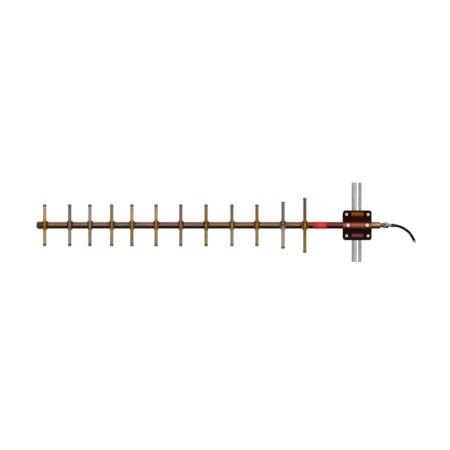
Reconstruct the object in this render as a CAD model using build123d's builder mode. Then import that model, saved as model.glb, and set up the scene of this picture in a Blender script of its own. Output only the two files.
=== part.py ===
from build123d import *
import math
import os

# Yagi antenna on a short piece of mast, in millimetres, +Z up.
# The mast stands on the Z axis with its lower end at z = 0. The boom lies along X, in front
# of the mast on the -Y side, with its front (director) end towards -X and its feed towards +X.

# Mast tube
MAST_R = 19.05
MAST_WALL = 2.0
MAST_LENGTH = 297.0

# Boom tube, a 1 in tube in front of the mast
BOOM_Y = -36.0
BOOM_Z = 137.0
BOOM_R = 12.7
BOOM_WALL = 1.6
BOOM_BORE_R = BOOM_R - BOOM_WALL
BOOM_FRONT_X = -1187.0
BOOM_REAR_X = 85.0
CAP_SKIRT = 11.0
CAP_WALL = 1.3
CAP_DOME = 9.4
CAP_ROUND = 9.0
CAP_LIP_ROUND = 0.5
BAND_FRONT_X = -165.0
BAND_LENGTH = 50.4
BAND_THICKNESS = 0.6

# Elements, upright rods in front of the boom
ELEMENT_Y = -56.5
ELEMENT_R = 6.0
SLEEVE_R = 6.6
DRIVEN_X = -277.5
REFLECTOR_GAP = 81.0
DIRECTOR_GAPS = [97.0, 93.0, 96.0, 94.0, 92.0, 90.0, 75.0, 81.0, 75.0, 93.0]
DIRECTOR_LENGTH = 156.0
REFLECTOR_LENGTH = 205.0
DRIVEN_UP = 88.0
DRIVEN_DOWN = 87.0
UPPER_ARM_START = 1.5
LOWER_ARM_START = -5.0
TIP_SKIRT = 7.5
TIP_DOME = 1.5
TIP_WALL = 0.6
TIP_ROUND = 1.4

# Element saddles, screws and nuts
SADDLE_REAR_Y = -40.0
SADDLE_UPPER_HALF = 12.0
SADDLE_LOWER_HALF = 8.5
REFLECTOR_SADDLE_HALF = 12.5
FEED_BLOCK_HALF = 11.5
SADDLE_UPPER_SHOULDER = 12.0
SADDLE_LOWER_SHOULDER = 8.0
SADDLE_HALF_HEIGHT = 17.0
SADDLE_NOSE = 8.0
SADDLE_CHAMFER = 2.4
M4_R = 2.0
M4_CLEARANCE_R = 2.1
M4_HEAD_R = 3.7
M4_HEAD_HEIGHT = 2.2
M4_NUT_FLATS = 7.0
M4_NUT_HEIGHT = 3.2
M3_R = 1.5
M3_CLEARANCE_R = 1.6
M3_HEAD_R = 2.7
M3_HEAD_HEIGHT = 1.8
M3_NUT_FLATS = 5.5
M3_NUT_HEIGHT = 2.4
SPOT_FACE = 1.2
HEAD_CLEARANCE = 0.2
HEAD_ROUND_SHARE = 0.7
RECESS_FLOOR_SHARE = 0.45
RECESS_SIZE_SHARE = 0.55
SCREW_TAIL = 1.2
HOLE_OVERCUT = 1.0
HEX_CORNER_CUT = 0.3

# Feed inside the boom
FEED_UPPER = 6.0
FEED_LOWER = -8.0
FEED_CENTRE = -1.75
FEED_HOLE_R = 3.0
FEED_COLLAR_R = 2.95
FEED_COLLAR_REAR_Y = -42.0
FEED_SCREW_TAIL = 0.4
CARD_LENGTH = 28.0
CARD_HEIGHT = 19.0
CARD_THICKNESS = 1.6
CARD_FRONT_Y = -38.4
COAX_R = 2.5
COAX_BEND_R = 7.5
COAX_LEVEL_X = 55.0
COAX_DROP_X = 41.0
COAX_END_X = -268.0
COAX_Y = -34.0
COAX_DROP = -7.0

# Mast bracket
PLATE_WIDTH = 108.0
PLATE_HEIGHT = 112.0
PLATE_CORNER = 10.0
PLATE_THICKNESS = 3.0
PLATE_EDGE_ROUND = 1.0
PLATE_REAR_Y = -34.0
PLATE_FRONT_Y = PLATE_REAR_Y - PLATE_THICKNESS
BULGE_R = BOOM_R + PLATE_THICKNESS
COLUMN_HALF_WIDTH = 22.5
COLUMN_R = 17.2
SWAGE_R = 13.0
SWAGE_RISE = 6.5
SWAGE_HEIGHT = 40.0
SWAGE_END_CHAMFER = 1.0
SAME_PLACE = 0.01
BOLT_SPACING = 80.0
BOOM_SCREW_SPACING = 71.0
MAST_GROOVE_R = MAST_R + 0.3
SADDLE_BACK_Y = -6.0
WEB_FRONT_Y = -24.0
WEB_BACK_Y = -18.0
WEB_WIDTH = 104.0
TROUGH_HALF_WIDTH = 28.0
BOOM_TROUGH_HALF = 18.0
BOSS_R = 9.0
JAW_FRONT_Y = 4.0
JAW_WEB = 6.0
JAW_BACK_Y = 24.0
JAW_BOSS = 10.0
JAW_RIB_CHAMFER = 8.0
CLAMP_R = 3.0
CLAMP_CLEARANCE_R = 3.5
CLAMP_LENGTH = 70.0
CLAMP_FLATS = 10.0
CLAMP_TIP_CHAMFER = 0.6
CLAMP_HEAD_HEIGHT = 4.0
CLAMP_NUT_BORE_R = 3.1
CLAMP_NUT_HEIGHT = 5.0
CLAMP_WASHER_R = 6.2
CLAMP_WASHER_BORE_R = 3.3
CLAMP_WASHER_THICKNESS = 1.6
M6_R = 3.0
M6_CLEARANCE_R = 3.1
M6_FLATS = 10.0
M6_FLANGE_R = 6.2
M6_FLANGE_THICKNESS = 1.2
M6_HEAD_HEIGHT = 4.0
M6_NUT_HEIGHT = 5.0
M6_TIP_Y = -10.0

# Coaxial connector pair on the boom's rear end
PLUG_BUSH_FRONT_X = 63.0
JACK_REAR_X = 60.0
JACK_STEM_R = 6.0
JACK_NECK_R = 8.0
JACK_NECK_X = 97.0
JACK_THREAD_R = 7.9
JACK_FACE_X = 107.0
JACK_CAVITY_R = 4.3
JACK_CAVITY_X = 96.0
JACK_BORE_R = 3.6
CONTACT_R = 1.55
CONTACT_END_X = 104.0
SOCKET_R = 0.9
SOCKET_X = 98.0
PIN_R = 0.8
PIN_TIP_X = 99.0
SHELL_R = 4.1
SHELL_BORE_R = 3.3
FLANGE_R = 7.6
FLANGE_X = 108.5
FLANGE_END_X = 111.5
PLUG_STEM_R = 6.5
PLUG_END_X = 119.0
NUT_FRONT_X = 97.2
NUT_END_X = 115.0
NUT_LIP_X = 111.8
NUT_FLATS = 20.0
NUT_COLLAR_R = 10.9
NUT_BORE_R = 8.05
NUT_LIP_BORE_R = 6.8
NUT_CHAMFER = 0.4
GASKET_R = 6.3
GASKET_BORE_R = 4.1
GASKET_FRONT_X = 107.2
DIELECTRIC_X = 104.6

# Pigtail cable and its line jack
CABLE_R = 5.15
FERRULE_R = 6.0
FERRULE_END_X = 130.0
LINE_FERRULE_LENGTH = 2.5
LINE_BODY_FLATS = 10.0
LINE_BODY_LENGTH = 2.5
LINE_THREAD_R = 3.175
LINE_THREAD_LENGTH = 4.0
LINE_CAVITY_R = 2.3
LINE_CONTACT_R = 0.65
LINE_SOCKET_R = 0.47
LINE_CONTACT_SETBACK = 0.8
ARC_SHARE_OF_RUN = 0.45

os.makedirs("parts", exist_ok=True)


def save(piece, label):
    """Names a finished piece and writes it to parts/."""
    piece.part.label = label
    export_step(piece.part, f"parts/{label}.step")


def facing_front(x, y, z):
    """Plane whose normal is -Y, with local x along X and local y along Z."""
    return Plane(origin=(x, y, z), x_dir=(1, 0, 0), z_dir=(0, -1, 0))


def along_boom(x):
    """Plane across the boom's axis at x, with its normal along +X."""
    return Plane(origin=(x, BOOM_Y, BOOM_Z), x_dir=(0, 1, 0), z_dir=(1, 0, 0))


def round_bar(plane, radius, length, bore=0.0):
    """Round bar or tube that starts on a plane and grows along its normal."""
    with BuildPart() as bar:
        with BuildSketch(plane):
            Circle(radius)
            if bore:
                Circle(bore, mode=Mode.SUBTRACT)
        extrude(amount=length)
    return bar


def hexagon_radius(flats):
    """Corner radius of a hexagon with this distance across its flats."""
    return flats / math.sqrt(3)


director_x = []
x_along = DRIVEN_X
for gap in DIRECTOR_GAPS:
    x_along -= gap
    director_x.append(x_along)
reflector_x = DRIVEN_X + REFLECTOR_GAP
screwed_x = director_x + [reflector_x]
bolt_places = [
    (side_x * BOLT_SPACING / 2, side_z * BOLT_SPACING / 2) for side_x in (-1, 1) for side_z in (-1, 1)
]
boom_screw_x = [-BOOM_SCREW_SPACING / 2, BOOM_SCREW_SPACING / 2]

# --- Mast tube -------------------------------------------------------------------------------
mast_stub = round_bar(Plane.XY, MAST_R, MAST_LENGTH, MAST_R - MAST_WALL)
save(mast_stub, "mast_stub")

# --- Boom: drilled tube, slip-on front cap, rear bush and red wrap ----------------------------
with BuildPart() as boom_tube:
    with BuildSketch(along_boom(BOOM_FRONT_X)):
        Circle(BOOM_R)
        Circle(BOOM_BORE_R, mode=Mode.SUBTRACT)
    extrude(amount=BOOM_REAR_X - BOOM_FRONT_X)
    with Locations([facing_front(x, BOOM_Y, BOOM_Z) for x in screwed_x]):
        Hole(M4_CLEARANCE_R, depth=BOOM_R + HOLE_OVERCUT)
    with Locations([facing_front(x, BOOM_Y, BOOM_Z) for x in boom_screw_x]):
        Hole(M6_CLEARANCE_R, depth=BOOM_R + HOLE_OVERCUT)
    with Locations(facing_front(DRIVEN_X, BOOM_Y, BOOM_Z + FEED_CENTRE)):
        Hole(M3_CLEARANCE_R, depth=BOOM_R + HOLE_OVERCUT)
    with Locations([facing_front(DRIVEN_X, BOOM_Y - BOOM_R, BOOM_Z + z) for z in (FEED_UPPER, FEED_LOWER)]):
        Hole(FEED_HOLE_R, depth=BOOM_R)
save(boom_tube, "boom_tube")

with BuildPart() as boom_front_cap:
    with BuildSketch(along_boom(BOOM_FRONT_X - CAP_DOME)):
        Circle(BOOM_R + CAP_WALL)
    extrude(amount=CAP_DOME + CAP_SKIRT)
    fillet(boom_front_cap.edges().sort_by(Axis.X)[0], radius=CAP_ROUND)
    with BuildSketch(along_boom(BOOM_FRONT_X)):
        Circle(BOOM_R)
    extrude(amount=CAP_SKIRT, mode=Mode.SUBTRACT)
    fillet(boom_front_cap.edges().sort_by(Axis.X)[-2:].sort_by(SortBy.RADIUS)[-1], radius=CAP_LIP_ROUND)
save(boom_front_cap, "boom_front_cap")

boom_rear_bush = round_bar(
    along_boom(PLUG_BUSH_FRONT_X), BOOM_BORE_R, BOOM_REAR_X - PLUG_BUSH_FRONT_X, JACK_STEM_R
)
save(boom_rear_bush, "boom_rear_bush")

red_band = round_bar(along_boom(BAND_FRONT_X), BOOM_R + BAND_THICKNESS, BAND_LENGTH, BOOM_R)
save(red_band, "red_band")


# --- Elements: solid rods with a screw seat, on cast saddles ----------------------------------
def element_rod(x, radius, low, high, seats):
    """Upright rod from low to high about the boom's height, drilled and spot-faced at each seat."""
    with BuildPart() as rod:
        with BuildSketch(Plane.XY.offset(BOOM_Z + low)):
            with Locations((x, ELEMENT_Y)):
                Circle(radius)
        extrude(amount=high - low)
        for height, hole_r, head_r in seats:
            with Locations(facing_front(x, ELEMENT_Y - radius + SPOT_FACE, BOOM_Z + height)):
                Hole(hole_r, depth=2 * radius + HOLE_OVERCUT)
                Cylinder(
                    head_r + HEAD_CLEARANCE, 2 * SPOT_FACE, align=(Align.CENTER, Align.CENTER, Align.MIN),
                    mode=Mode.SUBTRACT,
                )
    return rod


def saddle_block(x, upper_half, lower_half):
    """Block of a saddle's outline, from the boom's front to the rods' axis, its rear edges chamfered."""
    with BuildPart() as block:
        with BuildSketch(facing_front(x, SADDLE_REAR_Y, BOOM_Z)):
            Polygon(
                (-lower_half, -SADDLE_LOWER_SHOULDER), (-SADDLE_NOSE, -SADDLE_HALF_HEIGHT),
                (SADDLE_NOSE, -SADDLE_HALF_HEIGHT), (lower_half, -SADDLE_LOWER_SHOULDER),
                (upper_half, SADDLE_UPPER_SHOULDER), (SADDLE_NOSE, SADDLE_HALF_HEIGHT),
                (-SADDLE_NOSE, SADDLE_HALF_HEIGHT), (-upper_half, SADDLE_UPPER_SHOULDER),
                align=None,
            )
        extrude(amount=SADDLE_REAR_Y - ELEMENT_Y)
        chamfer(block.faces().sort_by(Axis.Y)[0].edges(), length=SADDLE_CHAMFER)
    return block.part


def element_saddle(x, upper_half, lower_half, label):
    """Cast saddle: a tapered block that hugs the boom behind and the rod in front."""
    with BuildPart() as saddle:
        add(saddle_block(x, upper_half, lower_half))
        with BuildSketch(along_boom(x - upper_half)):
            Circle(BOOM_R)
        extrude(amount=2 * upper_half, mode=Mode.SUBTRACT)
        with BuildSketch(Plane.XY.offset(BOOM_Z - SADDLE_HALF_HEIGHT)):
            with Locations((x, ELEMENT_Y)):
                Circle(ELEMENT_R)
        extrude(amount=2 * SADDLE_HALF_HEIGHT, mode=Mode.SUBTRACT)
        with Locations(facing_front(x, BOOM_Y, BOOM_Z)):
            Hole(M4_CLEARANCE_R, depth=BOOM_Y - ELEMENT_Y + HOLE_OVERCUT)
    save(saddle, label)


rod_seat = [(0.0, M4_CLEARANCE_R, M4_HEAD_R)]
director_reach = DIRECTOR_LENGTH / 2 - TIP_DOME
for number, x in enumerate(director_x, start=1):
    director = element_rod(x, ELEMENT_R, -director_reach, director_reach, rod_seat)
    save(director, f"director_{number:02d}")
    element_saddle(x, SADDLE_UPPER_HALF, SADDLE_LOWER_HALF, f"saddle_director_{number:02d}")

reflector_reach = REFLECTOR_LENGTH / 2 - TIP_DOME
reflector = element_rod(reflector_x, ELEMENT_R, -reflector_reach, reflector_reach, rod_seat)
save(reflector, "reflector")
element_saddle(reflector_x, REFLECTOR_SADDLE_HALF, REFLECTOR_SADDLE_HALF, "saddle_reflector")

# --- Driven element: two arms on an insulating feed block --------------------------------------
driven_upper_arm = element_rod(
    DRIVEN_X, ELEMENT_R, UPPER_ARM_START, DRIVEN_UP - TIP_DOME, [(FEED_UPPER, M3_CLEARANCE_R, M3_HEAD_R)]
)
save(driven_upper_arm, "driven_upper_arm")

driven_lower_arm = element_rod(
    DRIVEN_X, SLEEVE_R, -DRIVEN_DOWN + TIP_DOME, LOWER_ARM_START, [(FEED_LOWER, M3_CLEARANCE_R, M3_HEAD_R)]
)
save(driven_lower_arm, "driven_lower_arm")

with BuildPart() as feed_block:
    add(saddle_block(DRIVEN_X, FEED_BLOCK_HALF, FEED_BLOCK_HALF))
    # Bridge between the two arms that carries the centre screw's head
    barrier_height = UPPER_ARM_START - LOWER_ARM_START
    with BuildSketch(facing_front(DRIVEN_X, BOOM_Y - BOOM_R, BOOM_Z + FEED_CENTRE)):
        Rectangle(2 * ELEMENT_R, barrier_height)
    extrude(amount=BOOM_Y - BOOM_R - ELEMENT_Y + ELEMENT_R - SPOT_FACE)
    with BuildSketch(along_boom(DRIVEN_X - FEED_BLOCK_HALF)):
        Circle(BOOM_R)
    extrude(amount=2 * FEED_BLOCK_HALF, mode=Mode.SUBTRACT)
    with BuildSketch(Plane.XY.offset(BOOM_Z + UPPER_ARM_START)):
        with Locations((DRIVEN_X, ELEMENT_Y)):
            Circle(ELEMENT_R)
    extrude(amount=SADDLE_HALF_HEIGHT, mode=Mode.SUBTRACT)
    with BuildSketch(Plane.XY.offset(BOOM_Z + LOWER_ARM_START)):
        with Locations((DRIVEN_X, ELEMENT_Y)):
            Circle(SLEEVE_R)
    extrude(amount=-SADDLE_HALF_HEIGHT, mode=Mode.SUBTRACT)
    # Collars that line the boom's feed holes
    for height in (FEED_UPPER, FEED_LOWER):
        with BuildSketch(facing_front(DRIVEN_X, FEED_COLLAR_REAR_Y, BOOM_Z + height)):
            Circle(FEED_COLLAR_R)
        extrude(amount=FEED_COLLAR_REAR_Y - ELEMENT_Y - SLEEVE_R)
        with Locations(facing_front(DRIVEN_X, SADDLE_REAR_Y, BOOM_Z + height)):
            Hole(M3_CLEARANCE_R, depth=SADDLE_REAR_Y - ELEMENT_Y)
    with Locations(facing_front(DRIVEN_X, SADDLE_REAR_Y, BOOM_Z + FEED_CENTRE)):
        Hole(M3_CLEARANCE_R, depth=SADDLE_REAR_Y - ELEMENT_Y + ELEMENT_R)
save(feed_block, "feed_block")

# --- Element tip caps ---------------------------------------------------------------------------
tips = []
for x in director_x:
    tips.append((x, DIRECTOR_LENGTH / 2, ELEMENT_R, -1))
    tips.append((x, -DIRECTOR_LENGTH / 2, ELEMENT_R, 1))
tips.append((reflector_x, REFLECTOR_LENGTH / 2, ELEMENT_R, -1))
tips.append((reflector_x, -REFLECTOR_LENGTH / 2, ELEMENT_R, 1))
tips.append((DRIVEN_X, DRIVEN_UP, ELEMENT_R, -1))
tips.append((DRIVEN_X, -DRIVEN_DOWN, SLEEVE_R, 1))


def tip_cap(x, end, rod_r, inward):
    """Round-ended cap over a rod's tip, from its outer end inward along Z."""
    with BuildPart() as cap:
        with BuildSketch(Plane(origin=(x, ELEMENT_Y, BOOM_Z + end), z_dir=(0, 0, inward))):
            Circle(rod_r + TIP_WALL)
        extrude(amount=TIP_DOME + TIP_SKIRT)
        outer_face = cap.faces().filter_by(Axis.Z).sort_by(Axis.Z)[-1 if inward < 0 else 0]
        fillet(outer_face.edges(), radius=TIP_ROUND)
        rod_end = BOOM_Z + end + inward * TIP_DOME
        with BuildSketch(Plane(origin=(x, ELEMENT_Y, rod_end), z_dir=(0, 0, inward))):
            Circle(rod_r)
        extrude(amount=TIP_SKIRT, mode=Mode.SUBTRACT)
    return cap.part


with BuildPart() as element_tip_caps:
    for x, end, rod_r, inward in tips:
        add(tip_cap(x, end, rod_r, inward))
save(element_tip_caps, "element_tip_caps")

# --- Saddle screws and nuts -----------------------------------------------------------------------
head_seat_y = ELEMENT_Y - ELEMENT_R + SPOT_FACE
saddle_nut_y = BOOM_Y + BOOM_R


def button_screw(plane, shank_r, head_r, head_height, shank_length):
    """Round-headed screw with a hex recess, its head's underside on the plane."""
    with BuildPart() as screw:
        with BuildSketch(plane):
            Circle(head_r)
        extrude(amount=head_height)
        fillet(screw.faces().sort_by(Axis.Y)[0].edges(), radius=HEAD_ROUND_SHARE * head_height)
        with BuildSketch(plane.offset(RECESS_FLOOR_SHARE * head_height)):
            RegularPolygon(RECESS_SIZE_SHARE * head_r, 6)
        extrude(amount=head_height, mode=Mode.SUBTRACT)
        with BuildSketch(plane):
            Circle(shank_r)
        extrude(amount=-shank_length)
    return screw.part


with BuildPart() as saddle_screws:
    m4_length = saddle_nut_y + M4_NUT_HEIGHT + SCREW_TAIL - head_seat_y
    m4_screw = button_screw(facing_front(0, head_seat_y, BOOM_Z), M4_R, M4_HEAD_R, M4_HEAD_HEIGHT, m4_length)
    for x in screwed_x:
        add(Pos(x, 0, 0) * m4_screw)
    m3_length = saddle_nut_y + M3_NUT_HEIGHT + SCREW_TAIL - head_seat_y
    m3_place = facing_front(DRIVEN_X, head_seat_y, BOOM_Z + FEED_CENTRE)
    add(button_screw(m3_place, M3_R, M3_HEAD_R, M3_HEAD_HEIGHT, m3_length))
save(saddle_screws, "saddle_screws")

with BuildPart() as saddle_nuts:
    for x in screwed_x:
        with BuildSketch(facing_front(x, saddle_nut_y, BOOM_Z)):
            RegularPolygon(hexagon_radius(M4_NUT_FLATS), 6)
            Circle(M4_R, mode=Mode.SUBTRACT)
        extrude(amount=-M4_NUT_HEIGHT)
    with BuildSketch(facing_front(DRIVEN_X, saddle_nut_y, BOOM_Z + FEED_CENTRE)):
        RegularPolygon(hexagon_radius(M3_NUT_FLATS), 6)
        Circle(M3_R, mode=Mode.SUBTRACT)
    extrude(amount=-M3_NUT_HEIGHT)
save(saddle_nuts, "saddle_nuts")

# --- Feed inside the boom: screws, card and coaxial lead ----------------------------------------------
card_back_y = CARD_FRONT_Y + CARD_THICKNESS
feed_places = [
    (FEED_UPPER, ELEMENT_Y - ELEMENT_R + SPOT_FACE), (FEED_LOWER, ELEMENT_Y - SLEEVE_R + SPOT_FACE)
]
with BuildPart() as feed_screws:
    for height, seat_y in feed_places:
        length = card_back_y + M3_NUT_HEIGHT + FEED_SCREW_TAIL - seat_y
        place = facing_front(DRIVEN_X, seat_y, BOOM_Z + height)
        add(button_screw(place, M3_R, M3_HEAD_R, M3_HEAD_HEIGHT, length))
save(feed_screws, "feed_screws")

with BuildPart() as feed_nuts:
    for height, seat_y in feed_places:
        with BuildSketch(facing_front(DRIVEN_X, card_back_y, BOOM_Z + height)):
            RegularPolygon(hexagon_radius(M3_NUT_FLATS), 6)
            Circle(M3_R, mode=Mode.SUBTRACT)
        extrude(amount=-M3_NUT_HEIGHT)
save(feed_nuts, "feed_nuts")

with BuildPart() as balun_card:
    with BuildSketch(facing_front(DRIVEN_X, CARD_FRONT_Y + CARD_THICKNESS, BOOM_Z)):
        Rectangle(CARD_LENGTH, CARD_HEIGHT)
        with Locations((0, FEED_UPPER), (0, FEED_LOWER), (0, FEED_CENTRE)):
            Circle(M3_CLEARANCE_R, mode=Mode.SUBTRACT)
    extrude(amount=CARD_THICKNESS)
save(balun_card, "balun_card")

with BuildPart() as inner_coax:
    with BuildLine() as coax_path:
        FilletPolyline(
            (JACK_REAR_X, BOOM_Y, BOOM_Z), (COAX_LEVEL_X, BOOM_Y, BOOM_Z),
            (COAX_DROP_X, COAX_Y, BOOM_Z + COAX_DROP), (COAX_END_X, COAX_Y, BOOM_Z + COAX_DROP),
            radius=COAX_BEND_R,
        )
    with BuildSketch(Plane(origin=(JACK_REAR_X, BOOM_Y, BOOM_Z), z_dir=(-1, 0, 0))):
        Circle(COAX_R)
    sweep(path=coax_path.line)
save(inner_coax, "inner_coax")

# --- Bracket front plate: pressed sheet with a boom bulge and two swages ------------------------------
with BuildPart() as bracket_front_plate:
    with BuildSketch(facing_front(0, PLATE_REAR_Y, BOOM_Z)):
        RectangleRounded(PLATE_WIDTH, PLATE_HEIGHT, PLATE_CORNER)
    extrude(amount=PLATE_THICKNESS)
    fillet(bracket_front_plate.faces().sort_by(Axis.Y)[0].edges(), radius=PLATE_EDGE_ROUND)
    front_half = PLATE_REAR_Y - BOOM_Y
    for radius, half_length in ((BULGE_R, PLATE_WIDTH / 2), (COLUMN_R, COLUMN_HALF_WIDTH)):
        with BuildSketch(along_boom(-half_length)):
            Circle(radius)
            with Locations((front_half, 0)):
                Rectangle(
                    2 * radius, 2 * radius, align=(Align.MAX, Align.CENTER), mode=Mode.INTERSECT
                )
        extrude(amount=2 * half_length)
    swage_axis_y = PLATE_FRONT_Y + SWAGE_R - SWAGE_RISE
    for side in (-1, 1):
        swage_z = BOOM_Z + side * SWAGE_HEIGHT
        start = Plane(origin=(-COLUMN_HALF_WIDTH, swage_axis_y, swage_z), x_dir=(0, 1, 0), z_dir=(1, 0, 0))
        with BuildSketch(start):
            Circle(SWAGE_R)
            with Locations((PLATE_REAR_Y - swage_axis_y, 0)):
                Rectangle(
                    2 * SWAGE_R, 2 * SWAGE_R, align=(Align.MAX, Align.CENTER), mode=Mode.INTERSECT
                )
        extrude(amount=2 * COLUMN_HALF_WIDTH)
    swage_ends = bracket_front_plate.faces().filter_by(Axis.X).filter_by(
        lambda face: abs(abs(face.center().X) - COLUMN_HALF_WIDTH) < SAME_PLACE
    )
    end_arcs = swage_ends.edges().filter_by(GeomType.CIRCLE).filter_by(
        lambda edge: edge.radius in (SWAGE_R, COLUMN_R)
    )
    chamfer(end_arcs, length=SWAGE_END_CHAMFER)
    for side in (-1, 1):
        swage_z = BOOM_Z + side * SWAGE_HEIGHT
        inner_half = COLUMN_HALF_WIDTH - PLATE_THICKNESS
        start = Plane(origin=(-inner_half, swage_axis_y, swage_z), x_dir=(0, 1, 0), z_dir=(1, 0, 0))
        with BuildSketch(start):
            Circle(SWAGE_R - PLATE_THICKNESS)
        extrude(amount=2 * inner_half, mode=Mode.SUBTRACT)
    with BuildSketch(along_boom(-PLATE_WIDTH / 2)):
        Circle(BOOM_R)
    extrude(amount=PLATE_WIDTH, mode=Mode.SUBTRACT)
    with Locations([facing_front(x, PLATE_REAR_Y, BOOM_Z + z) for x, z in bolt_places]):
        Hole(CLAMP_CLEARANCE_R, depth=2 * PLATE_THICKNESS)
    for x in boom_screw_x:
        with Locations(facing_front(x, BOOM_Y - BULGE_R + SPOT_FACE, BOOM_Z)):
            Cylinder(
                M6_FLANGE_R + HEAD_CLEARANCE, 2 * SPOT_FACE, align=(Align.CENTER, Align.CENTER, Align.MIN),
                mode=Mode.SUBTRACT,
            )
            Hole(M6_CLEARANCE_R, depth=2 * PLATE_THICKNESS)
save(bracket_front_plate, "bracket_front_plate")

# --- Bracket cross saddle: casting with the boom's groove in front and the mast's behind ----
with BuildPart() as bracket_cross_saddle:
    with BuildSketch(facing_front(0, WEB_BACK_Y, BOOM_Z)):
        RectangleRounded(WEB_WIDTH, WEB_WIDTH, PLATE_CORNER)
    extrude(amount=WEB_BACK_Y - WEB_FRONT_Y)
    with BuildSketch(facing_front(0, WEB_BACK_Y, BOOM_Z)):
        Rectangle(WEB_WIDTH, 2 * BOOM_TROUGH_HALF)
        Rectangle(2 * COLUMN_HALF_WIDTH, WEB_WIDTH)
    extrude(amount=WEB_BACK_Y - PLATE_REAR_Y)
    with BuildSketch(facing_front(0, SADDLE_BACK_Y, BOOM_Z)):
        Rectangle(2 * TROUGH_HALF_WIDTH, WEB_WIDTH)
    extrude(amount=SADDLE_BACK_Y - WEB_FRONT_Y)
    for x, z in bolt_places:
        with BuildSketch(facing_front(x, SADDLE_BACK_Y, BOOM_Z + z)):
            Circle(BOSS_R)
        extrude(amount=SADDLE_BACK_Y - PLATE_REAR_Y)
    with BuildSketch(along_boom(-WEB_WIDTH / 2)):
        Circle(BOOM_R)
    extrude(amount=WEB_WIDTH, mode=Mode.SUBTRACT)
    with BuildSketch(Plane.XY.offset(BOOM_Z - WEB_WIDTH / 2)):
        Circle(MAST_GROOVE_R)
    extrude(amount=WEB_WIDTH, mode=Mode.SUBTRACT)
    with Locations([facing_front(x, PLATE_REAR_Y, BOOM_Z + z) for x, z in bolt_places]):
        Hole(CLAMP_CLEARANCE_R, depth=SADDLE_BACK_Y - PLATE_REAR_Y + HOLE_OVERCUT)
    with Locations([facing_front(x, WEB_BACK_Y, BOOM_Z) for x in boom_screw_x]):
        Hole(M6_CLEARANCE_R, depth=WEB_BACK_Y - PLATE_REAR_Y)
save(bracket_cross_saddle, "bracket_cross_saddle")

# --- Bracket rear jaw: casting that closes behind the mast ----
with BuildPart() as bracket_rear_jaw:
    with BuildSketch(facing_front(0, JAW_FRONT_Y + JAW_WEB, BOOM_Z)):
        RectangleRounded(WEB_WIDTH, WEB_WIDTH, PLATE_CORNER)
    extrude(amount=JAW_WEB)
    with BuildSketch(facing_front(0, JAW_BACK_Y, BOOM_Z)):
        Rectangle(2 * TROUGH_HALF_WIDTH, WEB_WIDTH)
    extrude(amount=JAW_BACK_Y - JAW_FRONT_Y)
    chamfer(bracket_rear_jaw.faces().sort_by(Axis.Y)[-1].edges().filter_by(Axis.Z), length=JAW_RIB_CHAMFER)
    for x, z in bolt_places:
        with BuildSketch(facing_front(x, JAW_FRONT_Y + JAW_BOSS, BOOM_Z + z)):
            Circle(BOSS_R)
        extrude(amount=JAW_BOSS)
    for side in (-1, 1):
        with BuildSketch(facing_front(0, JAW_FRONT_Y + JAW_BOSS, BOOM_Z + side * BOLT_SPACING / 2)):
            Rectangle(BOLT_SPACING, JAW_WEB)
        extrude(amount=JAW_BOSS)
    with BuildSketch(Plane.XY.offset(BOOM_Z - WEB_WIDTH / 2)):
        Circle(MAST_GROOVE_R)
    extrude(amount=WEB_WIDTH, mode=Mode.SUBTRACT)
    with Locations([facing_front(x, JAW_FRONT_Y, BOOM_Z + z) for x, z in bolt_places]):
        Hole(CLAMP_CLEARANCE_R, depth=JAW_BOSS + HOLE_OVERCUT)
save(bracket_rear_jaw, "bracket_rear_jaw")


# --- Bracket fasteners ----
def hex_ring(plane, flats, bore_r, height):
    """Hexagonal ring that grows along the plane's normal, its outer corners rounded off."""
    with BuildPart() as ring:
        with BuildSketch(plane):
            RegularPolygon(hexagon_radius(flats), 6)
        extrude(amount=height)
        with BuildSketch(plane):
            Circle(hexagon_radius(flats) - HEX_CORNER_CUT)
        extrude(amount=height, mode=Mode.INTERSECT)
        if bore_r:
            with BuildSketch(plane):
                Circle(bore_r)
            extrude(amount=height, mode=Mode.SUBTRACT)
    return ring.part


def washers(y, forward):
    """Four flat washers at the clamp bolts, from y towards the front (1) or the back (-1)."""
    with BuildPart() as ring_set:
        for x, z in bolt_places:
            with BuildSketch(facing_front(x, y, BOOM_Z + z)):
                Circle(CLAMP_WASHER_R)
                Circle(CLAMP_WASHER_BORE_R, mode=Mode.SUBTRACT)
            extrude(amount=forward * CLAMP_WASHER_THICKNESS)
    return ring_set


jaw_boss_y = JAW_FRONT_Y + JAW_BOSS
bolt_seat_y = PLATE_FRONT_Y - CLAMP_WASHER_THICKNESS
save(washers(PLATE_FRONT_Y, 1), "clamp_head_washers")
save(washers(jaw_boss_y, -1), "clamp_rear_washers")

with BuildPart() as clamp_bolts:
    for x, z in bolt_places:
        add(hex_ring(facing_front(x, bolt_seat_y, BOOM_Z + z), CLAMP_FLATS, 0.0, CLAMP_HEAD_HEIGHT))
        with BuildSketch(facing_front(x, bolt_seat_y, BOOM_Z + z)):
            Circle(CLAMP_R)
        extrude(amount=-CLAMP_LENGTH)
    chamfer(
        clamp_bolts.faces().filter_by(Axis.Y).group_by(Axis.Y)[-1].edges(), length=CLAMP_TIP_CHAMFER
    )
save(clamp_bolts, "clamp_bolts")

with BuildPart() as clamp_nuts:
    for x, z in bolt_places:
        nut_plane = facing_front(x, jaw_boss_y + CLAMP_WASHER_THICKNESS + CLAMP_NUT_HEIGHT, BOOM_Z + z)
        add(hex_ring(nut_plane, CLAMP_FLATS, CLAMP_NUT_BORE_R, CLAMP_NUT_HEIGHT))
save(clamp_nuts, "clamp_nuts")

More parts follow.
